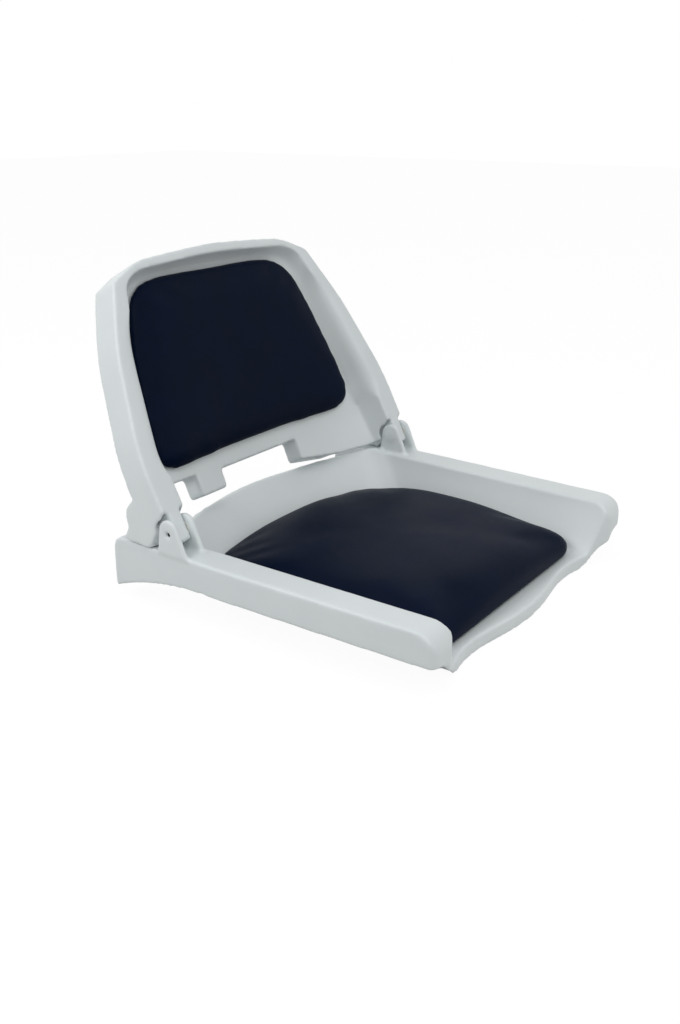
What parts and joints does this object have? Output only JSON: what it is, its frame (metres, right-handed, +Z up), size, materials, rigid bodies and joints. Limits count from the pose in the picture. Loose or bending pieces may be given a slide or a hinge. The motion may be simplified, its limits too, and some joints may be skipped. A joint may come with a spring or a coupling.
{
  "type": "folding boat seat",
  "caption": "Low-back boat seat with a moulded shell, loose-fitting padded cushions and a backrest that folds forward on side hinges.",
  "frame": {"origin": "centre of the four-bolt pattern on the mounting face under the pan", "axes": "+X across the seat, -Y towards the front edge, +Z up out of the mounting face"},
  "size_m": [0.506, 0.5384, 0.4019],
  "materials": {
    "shell_plastic": "satin",
    "vinyl": "satin",
    "foam": "matte",
    "plywood": "matte",
    "bearing_plastic": "satin",
    "brass": "satin",
    "stainless": "satin"
  },
  "bodies": {
    "seat": {"seat_shell": "shell_plastic", "mount_inserts": "brass", "hinge_pin_left": "stainless", "hinge_pin_right": "stainless", "hinge_washers_left": "bearing_plastic", "hinge_washers_right": "bearing_plastic", "seat_cushion_cover": "vinyl", "seat_cushion_foam": "foam", "seat_cushion_board": "plywood", "seat_cushion_staples": "stainless", "seat_cushion_screws": "stainless", "seat_cushion_washers": "stainless", "seat_cushion_tee_nuts": "stainless"},
    "backrest": {"backrest_shell": "shell_plastic", "hinge_bush_left": "bearing_plastic", "hinge_bush_right": "bearing_plastic", "back_cushion_cover": "vinyl", "back_cushion_foam": "foam", "back_cushion_board": "plywood", "back_cushion_staples": "stainless", "back_cushion_screws": "stainless", "back_cushion_washers": "stainless", "back_cushion_tee_nuts": "stainless"}
  },
  "joints": [
    {"name": "backrest_fold", "type": "hinge", "parent": "seat", "child": "backrest", "pos_m": [0, 0.134, 0.107], "axis": [1, 0, 0], "range_deg": [0, 117]}
  ]
}
